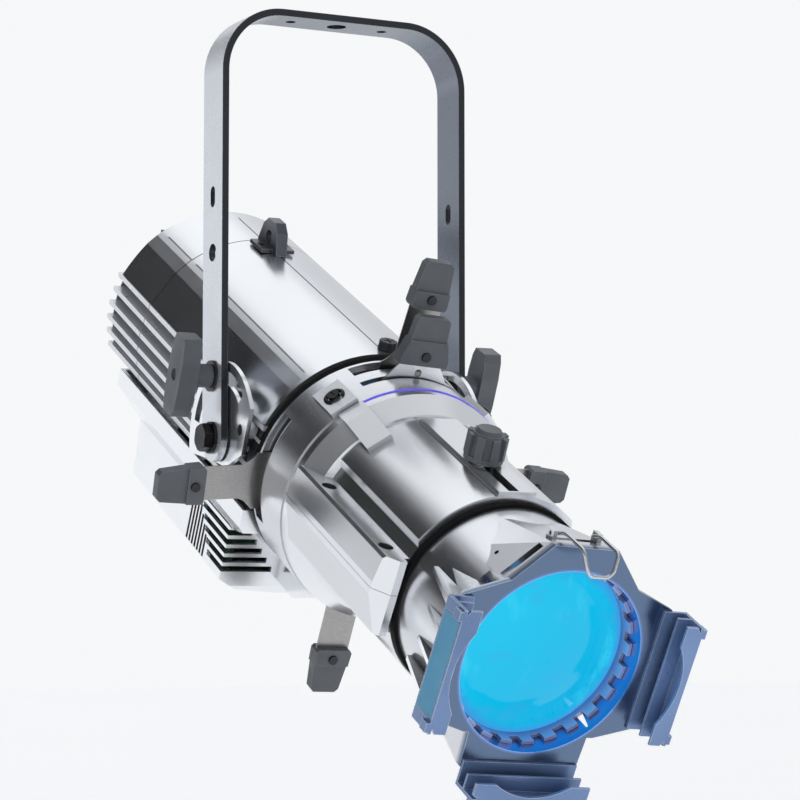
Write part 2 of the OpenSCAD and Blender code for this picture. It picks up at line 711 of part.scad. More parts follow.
// clamping flange above (side = 1) or below (side = -1) the split, on the right
module flange(side) intersection() {
    box([60, 82], side > 0 ? [0, 27] : [-27, 0], [106, 247.8]);
    linear_extrude(300) polygon([[58, -30], [75, -27], [81.5, -4], [81.5, 4],
        [80, 20.5], [78.5, 22.5], [58, 22.5]]);
    rotate([90, 0, 0]) linear_extrude(80, center = true)
        polygon([[55, 118], [80, 106], [84, 106], [84, 236],
            [72, 247.8], [67.2, 247.8], [66.7, 242], [55, 242]]);
}
module barrel_full() difference() {
    union() {
        rotate_extrude($fn = 144) polygon(barrel_profile);
        // raised crown pad
        intersection() {
            tube(64.6, barrel_radius + 3.4, 118, 242);
            rotate([0, 0, 12]) translate([-52, 40, 0]) cube([104, 60, 300]);
        }
        // pad that carries the focus slot
        at_focus() intersection() {
            box([-11, 15], [60, barrel_radius + 5.2], [128, 241.8]);
            tube(64.6, 90, 100, 242);
        }
        // boxed lug at the upper left
        rotate([0, 0, 130]) intersection() {
            box([60, 82], span(9), [100.4, 140]);
            rotate([90, 0, 0]) linear_extrude(40, center = true)
                polygon([[60, 100], [82, 100], [82, 114], [74, 140], [60, 140]]);
        }
        both_sides() for (side = [-1, 1]) flange(side);
    }
    z_cyl(bore_radius, 100, 260);
    at_focus() {
        // focus slot
        box(span(3.6), [50, 100], [191, 240.4]);
        // narrow seam beside the pad
        box([-13, -11.6], [barrel_radius + 2, 90], [124, 243]);
    }
}
module flange_holes(radius, from, to)
    both_sides() for (z = flange_screw_z) y_cyl(radius, from, to, flange_screw_x, z);
module barrel_upper() color(casting_white) barrel() difference() {
    intersection() {
        barrel_full();
        box(span(100), [0.15, 100], [90, 260]);
    }
    flange_holes(2.1, -1, 40);
    flange_holes(4.9, 13, 40);
}
module barrel_lower() color([0.86, 0.87, 0.9]) barrel() difference() {
    intersection() {
        barrel_full();
        box(span(100), [-100, -0.15], [90, 260]);
    }
    flange_holes(screw_hole, -20, 1);
}
module barrel_screws() color([0.1, 0.1, 0.11]) barrel() {
    // socket-head screws of the flanges
    both_sides() for (z = flange_screw_z) difference() {
        union() {
            y_cyl(screw_radius, -18, 13.2, flange_screw_x, z);
            y_cyl(4.6, 13.1, 17, flange_screw_x, z);
        }
        translate([flange_screw_x, 16.5, z]) rotate([-90, 0, 0]) hex(4, 3);
    }
    // slotted retaining screws in the pads of the shutter cover
    for (angle = pad_angles) rotate([0, 0, angle]) difference() {
        union() {
            x_cyl(screw_radius, 76.5, 85, 0, pad_screw_z);
            x_cyl(4, 84.7, 87, 0, pad_screw_z);
        }
        translate([87, 0, pad_screw_z]) cube([2, 1, 6], center = true);
    }
}
module barrel_front_ring() color([0.04, 0.04, 0.05]) barrel()
    tube(tube_radius + run_gap, 66.2, 242.1, 246.4);

// ---------- lens tube and front ----------

module lens_tube() color([0.8, 0.82, 0.85]) barrel() difference() {
    union() {
        tube(57.5, tube_radius, 140, 246.9);
        // boss of the focus stud
        at_focus() y_cyl(6, 56, 60.5, 0, focus_z);
        tube(54, 58, 140, 142.5);
    }
    at_focus() y_cyl(3 + run_gap, 50, 80, 0, focus_z);
}
module tube_front() color([0.88, 0.89, 0.92]) barrel() difference() {
    union() {
        z_cyl(64, 247, 302);
        // flat facets that take the round tube out to the front plate
        hull() {
            translate([0, 0, 262]) linear_extrude(1)
                polygon(mirrored([[20, 62.5], [42, 43], [42, -44], [34, -62]]));
            translate([0, 0, face_z - 5]) linear_extrude(5)
                polygon(mirrored([[22, 75], [46, 49], [40, -71]]));
        }
        // plate of the side arms
        translate([0, 0, face_z - 4]) linear_extrude(4)
            polygon(mirrored([[44, 51], [72, 40], [72, -40], [45, -48]]));
        // upper and lower shoulders of the side arms
        hull() {
            translate([0, 0, 270]) linear_extrude(1) square([106, 66], center = true);
            translate([0, 0, face_z - 4]) linear_extrude(1) square([124, 84], center = true);
        }
        // ears that hold the wire clip
        both_sides() box([14, 17], [62, 78.4], [face_z - 20.5, face_z - 13.5]);
        // ribs behind the side arms
        both_sides() for (y = [-31, -12, 9, 28]) translate([0, y + 1.5, 0])
            rotate([90, 0, 0]) linear_extrude(3) polygon([[50, 266], [60, 266],
                [75, face_z - 8], [72, face_z - 2], [50, face_z - 2]]);
    }
    z_cyl(open_radius, 294.8, face_z + 5);
    z_cyl(55.7, 240, 297);
    // slot and small hole in the upper left facet
    translate([-34.5, 59.5, face_z - 10]) rotate([0, 0, 47.3]) cube([29, 22, 6], center = true);
    translate([-33, 48, 292]) rotate([-90, 0, 42]) cylinder(r = 1.6, h = 60);
    // recess and pivot hole of the wire clip
    box(span(14), [69.5, 80], [face_z - 20, face_z - 13]);
    x_cyl(1.4, -17.5, 17.5, clip_pivot_y, clip_pivot_z);
}
// one channel along X: y outwards, z forwards
module channel(half) {
    // back wall, outer wall and middle rib
    box(span(half), [66, channel_out], [face_z + 0.1, face_z + 2]);
    box(span(half), [channel_in, channel_out], [face_z + 0.1, face_z + 22]);
    box(span(half), [70.4, channel_in + 0.1], [face_z + 9, face_z + 10.6]);
    // scalloped front rib
    difference() {
        translate([0, 0, face_z + 20.2]) linear_extrude(1.8)
            polygon(mirrored([[half, 70.4], [half, 78], [half - 7, channel_out]]));
        translate([0, 31.5, face_z + 19]) cylinder(r = 46.6, h = 5, $fn = 120);
    }
    // small blocks outside the ends
    for (x = span(half - 4))
        box([x - 3, x + 3], [channel_out - 1.5, channel_out + 2.4], [face_z + 15, face_z + 22]);
}
// channels on the left, bottom and right; the top is open
module frame_holder() color([0.5, 0.58, 0.75]) barrel() difference() {
    for (angle = [90, 180, 270]) rotate([0, 0, angle]) channel(39.5);
    // recess for the label
    box([-channel_out - 1, -channel_out + 0.5], span(31), [face_z + 1.2, face_z + 20.6]);
}
module label_plate() color([0.38, 0.69, 0.83]) barrel()
    box([-channel_out - 0.1, -channel_out + 0.4], span(30.6), [face_z + 1.6, face_z + 20.2]);
module front_lens() color([0.1, 0.8, 0.95, 0.6]) barrel() intersection() {
    z_cyl(57.9, 295, 322);
    translate([0, 0, 212]) sphere(r = 110, $fn = 180);
    union() {
        z_cyl(57.9, 295, 301);
        z_cyl(56.8, 297, 322);
    }
}
module rear_lens() color([0.7, 0.85, 0.9, 0.5]) barrel() intersection() {
    z_cyl(57.3, 143, 160);
    translate([0, 0, 20]) sphere(r = 140, $fn = 180);
}
module lens_retaining_ring() color([0.9, 0.92, 0.97]) barrel() difference() {
    tube(57, 59.4, 301.2, 317);
    for (angle = [0:15:345]) rotate([0, 0, angle]) box([54, 65], span(3.6), [310.5, 318]);
}
module focus_stud() color([0.7, 0.7, 0.72]) beam() difference() {
    union() {
        y_cyl(3, 56.5, 90, 0, focus_z);
        y_cyl(9, barrel_radius + 5.3, barrel_radius + 6.9, 0, focus_z);
    }
    y_cyl(1, 56.4, 60.4, 0, focus_z);
}
module focus_knob() color([0.42, 0.43, 0.45]) beam()
    translate([0, barrel_radius + 7, focus_z]) rotate([-90, 0, 0]) difference() {
        union() {
            cylinder(r = 12.6, h = 3);
            translate([0, 0, 2.9]) cylinder(r1 = 11.4, r2 = 10, h = 15);
            for (angle = [0:45:315]) rotate([0, 0, angle])
                translate([9.6, -2.4, 2]) cube([3.4, 4.8, 15]);
            translate([0, 0, 17.8]) cylinder(r1 = 9, r2 = 7.4, h = 2.6);
        }
        z_cyl(3.02, -1, 16.2);
    }
// wire between two points, run on a little at both ends so that the pieces overlap
module wire(from, to) {
    way = to - from;
    length = norm(way);
    translate(from) rotate([0, acos(way[2]/length), atan2(way[1], way[0])])
        translate([0, 0, -0.9]) cylinder(r = 1.25, h = length + 1.8, $fn = 8);
}
// sprung wire clip over the open top of the channels
module frame_clip() color([0.8, 0.82, 0.85]) barrel() {
    path = [[-12, clip_pivot_y, clip_pivot_z], [-12, 79.4, face_z - 9],
        [-12, 79.4, face_z + 14], [-9, 69, face_z + 19], [-6, 65.6, face_z + 19],
        [6, 65.6, face_z + 19], [9, 69, face_z + 19], [12, 79.4, face_z + 14],
        [12, 79.4, face_z - 9], [12, clip_pivot_y, clip_pivot_z]];
    for (i = [0:len(path) - 2]) wire(path[i], path[i + 1]);
    wire([-15.4, clip_pivot_y, clip_pivot_z], [15.4, clip_pivot_y, clip_pivot_z]);
}

yoke_bar();
clamp_nuts();
front_cowl();
rear_cap();
fin_panel_left();
fin_panel_right();
lower_housing();
safety_eyelet();
quadrant_plates();
pivot_bolts();
pivot_washers();
heat_sink();
led_board();
mixing_tube();
collimator_lens();
fan_frame();
fan_rotor();
power_board();
rear_panel();
display_window();
button_1();
button_2();
button_3();
button_4();
power_sockets();
data_sockets();
bearing_ring();
housing_screws();
rotation_seal();
lock_knob();
shutter_cover();
gate_plates();
shutter_spacers();
barrel_upper();
barrel_lower();
barrel_screws();
barrel_front_ring();
lens_tube();
tube_front();
frame_holder();
front_lens();
rear_lens();
lens_retaining_ring();
label_plate();
focus_knob();
focus_stud();
frame_clip();
tee_handle_left();
tee_handle_right();
shutter_left_blade();
shutter_left_grip();
shutter_right_blade();
shutter_right_grip();
shutter_bottom_blade();
shutter_bottom_grip();
shutter_top_blade();
shutter_top_grip();
pattern_holder();
pattern_grip();
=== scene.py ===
"""A stage profile spotlight hung in a yoke: materials, soft edges, small wire parts and a studio.

Metres, +Z up. The fixture tilts about PIVOT and throws its beam forward (-Y) and down.
Two millimetre frames lie along the beam: the housing's, and the barrel's, turned about it.
"""
import json
import math

import bmesh
import bpy
from mathutils import Matrix, Vector


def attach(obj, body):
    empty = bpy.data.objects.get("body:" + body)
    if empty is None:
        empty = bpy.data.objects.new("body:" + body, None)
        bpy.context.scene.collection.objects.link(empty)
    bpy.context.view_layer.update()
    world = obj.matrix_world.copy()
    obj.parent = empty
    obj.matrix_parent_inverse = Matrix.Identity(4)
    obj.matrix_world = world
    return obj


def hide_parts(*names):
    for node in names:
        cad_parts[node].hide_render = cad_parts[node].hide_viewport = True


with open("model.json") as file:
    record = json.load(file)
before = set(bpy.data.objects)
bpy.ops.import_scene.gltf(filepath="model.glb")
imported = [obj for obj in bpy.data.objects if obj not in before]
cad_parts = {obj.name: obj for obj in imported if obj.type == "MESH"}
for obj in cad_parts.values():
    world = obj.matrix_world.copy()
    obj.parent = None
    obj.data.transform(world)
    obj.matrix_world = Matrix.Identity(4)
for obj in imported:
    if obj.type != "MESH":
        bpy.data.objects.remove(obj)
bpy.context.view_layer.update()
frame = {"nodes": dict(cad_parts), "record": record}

NODES = frame["nodes"]

# ---------------------------------------------------------------- the frame
TILT = math.radians(26.9)
TURN = math.radians(-4.0)
PIVOT = Vector((0, 0, -0.2932))
ACROSS = Vector((1, 0, 0))
RISE = Vector((0, -math.sin(TILT), math.cos(TILT)))        # up, square to the beam
FORWARD = Vector((0, -math.cos(TILT), -math.sin(TILT)))    # along the beam


def housing_point(x, y, depth):
    """Millimetres in the housing's frame to metres; depth runs forward from the pivot."""
    return PIVOT + (ACROSS * x + RISE * y + FORWARD * depth) / 1000


def barrel_point(x, y, depth):
    """Millimetres in the turned barrel's frame to metres."""
    return housing_point(x * math.cos(TURN) - y * math.sin(TURN),
                         x * math.sin(TURN) + y * math.cos(TURN), depth)


# ---------------------------------------------------------------- shader graphs
def is_socket(value):
    return hasattr(value, "is_output")


def scaled(colour, factor):
    return tuple(channel * factor for channel in colour)


class Graph:
    """The node tree of a material or world, with short ways to add nodes to it."""

    def __init__(self, owner, output="ShaderNodeOutputMaterial", space="Object"):
        owner.use_nodes = True
        self.owner = owner
        self.tree = owner.node_tree
        self.tree.nodes.clear()
        self.output = self.new(output)
        self.place = self.new("ShaderNodeTexCoord").outputs[space]

    def new(self, kind, **settings):
        node = self.tree.nodes.new(kind)
        for key, value in settings.items():
            setattr(node, key, value)
        return node

    def put(self, socket, value):
        """Link or set an input."""
        if is_socket(value):
            self.tree.links.new(value, socket)
        else:
            socket.default_value = value

    def put_colour(self, socket, value):
        self.put(socket, value if is_socket(value) else (*value, 1))

    def noise(self, scale, detail=3.0, rough=0.55, stretch=None):
        place = self.place
        if stretch:
            mapping = self.new("ShaderNodeMapping")
            self.put(mapping.inputs["Vector"], place)
            mapping.inputs["Scale"].default_value = stretch
            place = mapping.outputs[0]
        node = self.new("ShaderNodeTexNoise")
        self.put(node.inputs["Vector"], place)
        node.inputs["Scale"].default_value = scale
        node.inputs["Detail"].default_value = detail
        node.inputs["Roughness"].default_value = rough
        return node.outputs["Fac"]

    def span(self, value, over, to=(0.0, 1.0)):
        """Remap the range over to the range to."""
        node = self.new("ShaderNodeMapRange")
        self.put(node.inputs["Value"], value)
        for key, limit in zip(("From Min", "From Max", "To Min", "To Max"), (*over, *to)):
            node.inputs[key].default_value = limit
        return node.outputs[0]

    def patches(self, over, to=(0.0, 1.0), **noise):
        """Noise remapped to soft patches."""
        return self.span(self.noise(**noise), over, to)

    def math(self, operation, first, second=0.0, third=None):
        node = self.new("ShaderNodeMath", operation=operation)
        self.put(node.inputs[0], first)
        self.put(node.inputs[1], second)
        if third is not None:
            self.put(node.inputs[2], third)
        return node.outputs[0]

    def times(self, first, second):
        return self.math("MULTIPLY", first, second)

    def vector(self, operation, first, second=None):
        node = self.new("ShaderNodeVectorMath", operation=operation)
        self.put(node.inputs[0], first)
        if second is not None:
            self.put(node.inputs[1], second)
        return node.outputs["Value" if operation in ("DOT_PRODUCT", "LENGTH") else "Vector"]

    def mix(self, factor, first, second, blend="MIX"):
        node = self.new("ShaderNodeMix", data_type="RGBA", blend_type=blend)
        self.put(node.inputs[0], factor)
        self.put_colour(node.inputs[6], first)
        self.put_colour(node.inputs[7], second)
        return node.outputs[2]

    def along(self, axis, origin):
        """Metres from origin along axis, in the piece's own coordinates."""
        return self.vector("DOT_PRODUCT", self.vector("SUBTRACT", self.place, origin), axis)

    def off_axis(self, point, axis):
        """Metres from the line through point along axis, in the piece's own coordinates."""
        offset = self.vector("SUBTRACT", self.place, point)
        return self.vector("LENGTH", self.vector("CROSS_PRODUCT", offset, axis))

    def edges(self, radius):
        """1 on an outer or inner edge, 0 on the flat."""
        bevel = self.new("ShaderNodeBevel", samples=4)
        bevel.inputs["Radius"].default_value = radius
        normal = self.new("ShaderNodeNewGeometry").outputs["Normal"]
        return self.span(self.vector("DOT_PRODUCT", bevel.outputs[0], normal), over=(0.97, 0.78))

    def rub(self, radius, **patches):
        """Edges picked out unevenly, for wear and for painted edge highlights."""
        return self.times(self.edges(radius), self.patches(**patches))

    def bump(self, height, strength, distance=0.0003):
        node = self.new("ShaderNodeBump")
        self.put(node.inputs["Height"], height)
        node.inputs["Strength"].default_value = strength
        node.inputs["Distance"].default_value = distance
        return node.outputs[0]

    def grain(self, scale, **bump):
        """Bump from a simple noise."""
        return self.bump(self.noise(scale, detail=2), **bump)

    def surface(self, colour, rough, normal, metallic=0.0, **more):
        """Finish the material with a principled shader; more names its other inputs."""
        shader = self.new("ShaderNodeBsdfPrincipled")
        self.put_colour(shader.inputs["Base Color"], colour)
        self.put(shader.inputs["Roughness"], rough)
        self.put(shader.inputs["Metallic"], metallic)
        self.put(shader.inputs["Normal"], normal)
        for key, value in more.items():
            self.put(shader.inputs[key.replace("_", " ")], value)
        self.put(self.output.inputs["Surface"], shader.outputs[0])
        return self.owner


def material_graph(name):
    return Graph(bpy.data.materials.new(name))


# ---------------------------------------------------------------- kinds of material
WORN_SILVER = (0.97, 0.97, 0.98)
SILVER = dict(base=(0.84, 0.85, 0.88), shade=(0.76, 0.78, 0.82))
GRIP = dict(base=(0.115, 0.125, 0.14), shade=(0.085, 0.093, 0.105))
GRIP_EDGE = (0.34, 0.36, 0.39)


def paint(name, base, shade, metallic, rough, edge=WORN_SILVER, grain=1500, peel=0.08,
          wear_and_glint=0.3, corner_shade=0.55, tint=None):
    """Metallic coat: fine orange peel, drifting sheen, pale edges (worn, and painted highlights
    on the front frame) and painted shade darkening the corners unevenly.
    """
    graph = material_graph(name)
    colour = graph.mix(graph.patches(scale=9, over=(0.25, 0.75)), base, shade)
    # tint adds colour layers; on the yoke and on the tube's face they are painted light
    for factor, tone in tint(graph) if tint else ():
        colour = graph.mix(factor, colour, tone)
    # painted shade: ambient occlusion darkens corners, creases and recesses towards a near-black
    # copy of the shade colour, in uneven patches
    occlusion = graph.new("ShaderNodeAmbientOcclusion", samples=6)
    occlusion.inputs["Distance"].default_value = 0.010
    corner = graph.times(graph.span(occlusion.outputs["AO"], over=(0.2, 0.8), to=(corner_shade, 0)),
                         graph.patches(scale=60, over=(0.2, 0.8), to=(0.8, 1)))
    colour = graph.mix(corner, colour, scaled(shade, factor=0.08))
    rub = graph.rub(radius=0.0009, scale=110, over=(0.3, 0.7), to=(0.55, 1))
    colour = graph.mix(graph.times(rub, wear_and_glint), colour, edge)
    sheen = graph.patches(scale=30, over=(0.2, 0.8), to=(rough - 0.025, rough + 0.04))
    return graph.surface(colour, sheen, metallic=metallic,
                         normal=graph.grain(grain, strength=peel),
                         Coat_Weight=0.1, Coat_Roughness=0.2)


def metal(name, base, shade, rough, scale, stretch=None, peel=0.08, wear_and_glint=0.25):
    """Bare metal with a brushed or turned grain."""
    graph = material_graph(name)
    grain = graph.noise(scale, stretch=stretch)
    colour = graph.mix(graph.span(grain, over=(0.3, 0.7)), base, shade)
    rub = graph.times(graph.edges(radius=0.0006), wear_and_glint)
    colour = graph.mix(rub, colour, (0.93, 0.93, 0.94))
    blot = graph.patches(scale=35, detail=4, over=(0.3, 0.7), to=(rough - 0.06, rough + 0.1))
    return graph.surface(colour, blot, metallic=1.0,
                         normal=graph.bump(grain, strength=peel, distance=0.0002))


def plastic(name, base, shade, rough, scale=2200, peel=0.3, edge=None, wear_and_glint=0.4, **more):
    """Moulded plastic or rubber: fine spark-eroded grain and handled, shinier edges."""
    edge_shine = 0.14
    graph = material_graph(name)
    colour = graph.mix(graph.patches(scale=26, detail=4, over=(0.32, 0.68)), base, shade)
    rub = graph.rub(radius=0.0012, scale=150, over=(0.35, 0.62), to=(0.2, 1))
    edge = edge or tuple(min(1, channel * 1.9 + 0.03) for channel in base)
    colour = graph.mix(graph.times(rub, wear_and_glint), colour, edge)
    matt = graph.patches(scale=60, over=(0.3, 0.7), to=(rough - 0.06, rough + 0.08))
    gloss = graph.math("SUBTRACT", matt, graph.times(rub, edge_shine))
    return graph.surface(colour, gloss, normal=graph.grain(scale, strength=peel), **more)


def handle_plastic(name, base, shade, insert, insert_colour, insert_shine):
    """Moulded handle with a dark, shinier insert; insert(graph) is 1 where the insert lies."""
    wear_and_glint = 0.35
    graph = material_graph(name)
    colour = graph.mix(graph.patches(scale=26, detail=4, over=(0.32, 0.68)), base, shade)
    rub = graph.rub(radius=0.0012, scale=110, over=(0.3, 0.7), to=(0.5, 1))
    colour = graph.mix(graph.times(rub, wear_and_glint), colour, GRIP_EDGE)
    inside = insert(graph)
    colour = graph.mix(inside, colour, insert_colour)
    matt = graph.patches(scale=60, over=(0.3, 0.7), to=(0.40, 0.54))
    gloss = graph.math("SUBTRACT", matt, graph.times(inside, insert_shine))
    return graph.surface(colour, gloss, normal=graph.grain(2200, strength=0.3))


def riveted_grip(name, point):
    """Grip plastic with a dark rivet head at point, facing along the beam."""
    radius, blur = 0.0034, 0.0002

    def rivet(graph):
        return graph.span(graph.off_axis(point, FORWARD), over=(radius - blur, radius), to=(1, 0))

    return handle_plastic(name, **GRIP, insert=rivet, insert_colour=(0.012, 0.012, 0.014),
                          insert_shine=0.12)


def tee_plastic(name):
    """Tee handle plastic with a dark washer at its inner end."""
    def washer(graph):
        out = graph.math("ABSOLUTE", graph.along(ACROSS, (0, 0, 0)))
        return graph.span(out, over=(0.0943, 0.0945), to=(1, 0))

    return handle_plastic(name, base=(0.125, 0.135, 0.15), shade=(0.09, 0.098, 0.11),
                          insert=washer, insert_colour=(0.010, 0.010, 0.012), insert_shine=0.1)


def painted_lens_glow(graph):
    """Painted light: the lens's blue glow is painted on the face of the tube, stronger near the
    glass.
    """
    depth = graph.along(FORWARD, PIVOT)
    face = graph.span(depth, over=(0.3195, 0.3245), to=(0, 0.92))
    bore = graph.times(graph.span(depth, over=(0.296, 0.305)),
                       graph.span(graph.off_axis(PIVOT, FORWARD), over=(0.0615, 0.0600),
                                  to=(0, 0.9)))
    return (face, (0.075, 0.14, 0.26)), (bore, (0.16, 0.32, 0.75))


def yoke_painted_side_light(graph):
    """Painted light and shade on the flat bar: lighter outer faces and slate inner faces as the
    light falls on them, and dark rolled edges.
    """
    middle = (0, 0, -0.13)
    normal = graph.new("ShaderNodeNewGeometry").outputs["Normal"]
    out = graph.vector("DOT_PRODUCT", graph.vector("SUBTRACT", graph.place, middle), normal)
    inner = graph.span(out, over=(-0.065, -0.02), to=(1, 0))
    outer = graph.span(out, over=(0.035, 0.07))
    return (inner, (0.22, 0.25, 0.30)), (outer, (0.74, 0.77, 0.82))


def lit_front_glass():
    """Cyan glowing lens, clouded, with brighter streaks that are painted highlights, and a bluer
    rim.
    """
    slope = 0.8    # how far the colour change leans towards vertical
    graph = material_graph("front_glass_lit")
    centre, origin = barrel_point(0, 0, 300), barrel_point(0, 0, 0)
    across = graph.along((barrel_point(1, 0, 0) - origin).normalized(), centre)
    rise = graph.along((barrel_point(0, 1, 0) - origin).normalized(), centre)
    radius = graph.math("SQRT", graph.math("ADD", graph.times(across, across),
                                           graph.times(rise, rise)))
    diagonal = graph.math("SUBTRACT", graph.times(rise, slope), across)
    body = graph.mix(graph.span(diagonal, over=(-0.06, 0.07)),
                     (0.004, 0.42, 0.72), (0.002, 0.56, 0.84))
    cloud = graph.patches(scale=30, detail=4, rough=0.6, stretch=(1, 1, 2.0),
                          over=(0.50, 0.74), to=(0, 0.6))
    body = graph.mix(cloud, body, (0.05, 0.36, 0.70))
    # painted highlights: brighter cyan streaks, fainter near the centre
    highlight_streak = graph.times(graph.patches(scale=20, detail=4, rough=0.65, stretch=(2.2, 1, 1),
                                       over=(0.56, 0.74), to=(0, 0.6)),
                         graph.span(radius, over=(0.006, 0.045), to=(0.25, 1)))
    body = graph.mix(highlight_streak, body, (0.05, 0.68, 0.90))
    rim = graph.span(radius, over=(0.050, 0.0555), to=(0, 0.8))
    body = graph.mix(rim, body, (0.05, 0.30, 0.72))
    return graph.surface((0.002, 0.02, 0.05), rough=0.10,
                         normal=graph.grain(120, strength=0.04, distance=0.0004),
                         Specular_IOR_Level=0.28, Emission_Color=body, Emission_Strength=1.0)


def clear_glass():
    tint = (0.86, 0.93, 0.96)
    graph = material_graph("clear_glass")
    colour = graph.mix(graph.patches(scale=30, over=(0.3, 0.7)), tint, scaled(tint, factor=0.93))
    return graph.surface(colour, graph.patches(scale=60, over=(0.3, 0.7), to=(0.02, 0.05)),
                         normal=graph.grain(300, strength=0.02, distance=0.0002),
                         Transmission_Weight=0.9, IOR=1.47)


def seam_light():
    violet = (0.16, 0.13, 0.85)
    graph = material_graph("seam_light")
    colour = graph.mix(graph.patches(scale=60, over=(0.3, 0.7)), violet,
                       scaled(violet, factor=0.6))
    return graph.surface(colour, rough=0.3,
                         normal=graph.grain(900, strength=0.05, distance=0.0002),
                         Emission_Color=colour, Emission_Strength=0.8)


# ---------------------------------------------------------------- materials by slot
SLOTS = {
    "housing": paint("housing_paint", base=(0.86, 0.87, 0.89), shade=(0.80, 0.82, 0.85),
                     metallic=0.95, rough=0.20),
    "cast": paint("cast_paint", **SILVER, metallic=0.93, rough=0.23, grain=900, peel=0.16,
                  corner_shade=0.75),
    # yoke: dark paint; its lighter outer faces and slate inner faces are painted light and shade
    "yoke": paint("yoke_paint_and_side_light", base=(0.035, 0.038, 0.045), shade=(0.05, 0.055, 0.065),
                  edge=(0.62, 0.65, 0.70), metallic=0.7, rough=0.27, wear_and_glint=0.35, corner_shade=0.2,
                  tint=yoke_painted_side_light),
    "grip": plastic("grip_plastic", **GRIP, rough=0.46, edge=GRIP_EDGE),
    "blade": metal("blade_steel", base=(0.42, 0.41, 0.40), shade=(0.32, 0.315, 0.31),
                   rough=0.30, stretch=(1, 14, 1), scale=420),
    "black_steel": metal("black_oxide", base=(0.045, 0.045, 0.05), shade=(0.03, 0.03, 0.034),
                         rough=0.38, scale=700, wear_and_glint=0.12),
    "zinc": metal("zinc_plate", base=(0.70, 0.71, 0.73), shade=(0.58, 0.59, 0.61),
                  rough=0.25, scale=600),
    "black_rubber": plastic("black_rubber", base=(0.004, 0.004, 0.005),
                            shade=(0.007, 0.007, 0.008), rough=0.75, scale=1500, wear_and_glint=0.0,
                            Specular_IOR_Level=0.2),
    "aluminium": metal("turned_aluminium", base=(0.72, 0.73, 0.75), shade=(0.62, 0.63, 0.65),
                       rough=0.28, stretch=(1, 1, 9), scale=500),
    "dark_metal": paint("dark_paint", base=(0.045, 0.048, 0.055), shade=(0.032, 0.034, 0.040),
                        edge=(0.25, 0.26, 0.28), metallic=0.3, rough=0.42, corner_shade=0.2),
    "circuit": plastic("circuit_board", base=(0.02, 0.13, 0.05), shade=(0.015, 0.10, 0.04),
                       rough=0.35, scale=1200, Coat_Weight=0.4),
    "led_white": plastic("led_board_white", base=(0.86, 0.86, 0.80), shade=(0.78, 0.78, 0.72),
                         rough=0.35, scale=1400, Coat_Weight=0.3),
    "reflector": metal("bright_reflector", base=(0.90, 0.90, 0.92), shade=(0.82, 0.82, 0.85),
                       rough=0.12, scale=500, peel=0.03),
    "clear_glass": clear_glass(),
    "front_glass": lit_front_glass(),
    "fan_black": plastic("fan_black", base=(0.022, 0.022, 0.025), shade=(0.03, 0.03, 0.034),
                         rough=0.5),
    "panel": plastic("panel_black", base=(0.035, 0.037, 0.042), shade=(0.026, 0.028, 0.032),
                     rough=0.48),
    "display": plastic("display_window", base=(0.012, 0.03, 0.06), shade=(0.018, 0.04, 0.075),
                       rough=0.10, scale=400, peel=0.03, Coat_Weight=0.8),
    "button": plastic("button_grey", base=(0.30, 0.31, 0.33), shade=(0.24, 0.25, 0.27),
                      rough=0.5),
    "socket_blue": plastic("socket_blue", base=(0.02, 0.06, 0.30), shade=(0.015, 0.045, 0.24),
                           rough=0.36, Coat_Weight=0.3),
    # front frame: its blue is painted glow from the lens, and its bright pale edges are painted
    # highlights
    "front_frame": paint("front_frame_paint_glow_and_highlights", base=(0.22, 0.34, 0.60), shade=(0.11, 0.18, 0.35),
                         edge=(0.90, 0.94, 1.0), metallic=0.35, rough=0.26, wear_and_glint=0.85,
                         corner_shade=0.45),
    # label: its blue is partly painted glow from the lens
    "label": plastic("label_blue_and_glow", base=(0.07, 0.36, 0.58), shade=(0.05, 0.29, 0.51),
                     rough=0.42, scale=700, peel=0.08, edge=(0.5, 0.75, 0.9), Coat_Weight=0.1),
}

# ---------------------------------------------------------------- materials of single pieces
# tube front: silver paint, with the lens's blue glow painted on its face and bore
tube = paint("tube_front_paint_and_glow", **SILVER, edge=(0.97, 0.98, 0.99), metallic=0.93, rough=0.20,
             wear_and_glint=0.6, tint=painted_lens_glow)
ring = paint("retaining_ring_paint", base=(0.62, 0.68, 0.95), shade=(0.40, 0.46, 0.80),
             edge=(0.94, 0.96, 1.0), metallic=0.4, rough=0.25, wear_and_glint=0.8)
seam_material = seam_light()
fins = paint("fin_paint", **SILVER, metallic=0.45, rough=0.28, grain=900, peel=0.16, corner_shade=0.45)
# painted shade: the eyelet gets a dark slate colour because it lies in shade
eyelet = paint("eyelet_painted_shade", base=(0.17, 0.18, 0.20), shade=(0.10, 0.11, 0.13),
               edge=(0.70, 0.72, 0.75), metallic=0.6, rough=0.3, wear_and_glint=0.6, corner_shade=0.6)
special = {"fin_panel_left": fins, "fin_panel_right": fins, "safety_eyelet": eyelet,
           "tube_front": tube, "lens_retaining_ring": ring}

# rivets of the shutter grips: side, degrees about the beam, millimetres from it
RIVETS = (("left", 184.2, 126), ("right", -1.3, 126), ("bottom", 268.4, 131), ("top", 85.0, 131))
RIVET_DEPTH = 60
for side, degrees, radius in RIVETS:
    angle = math.radians(degrees)
    point = housing_point(radius * math.cos(angle), radius * math.sin(angle), RIVET_DEPTH)
    special[f"shutter_{side}_grip"] = riveted_grip("grip_" + side, point)
for side in ("left", "right"):
    special["tee_handle_" + side] = tee_plastic("tee_" + side)
special["pattern_grip"] = riveted_grip("grip_pattern", barrel_point(0, 97.5, 80.5))

slot_of = {part["node"]: part["material_slot"] for part in frame["record"]["subparts"]}
for name, piece in NODES.items():
    piece.data.materials.clear()
    piece.data.materials.append(special.get(name) or SLOTS[slot_of[name]])

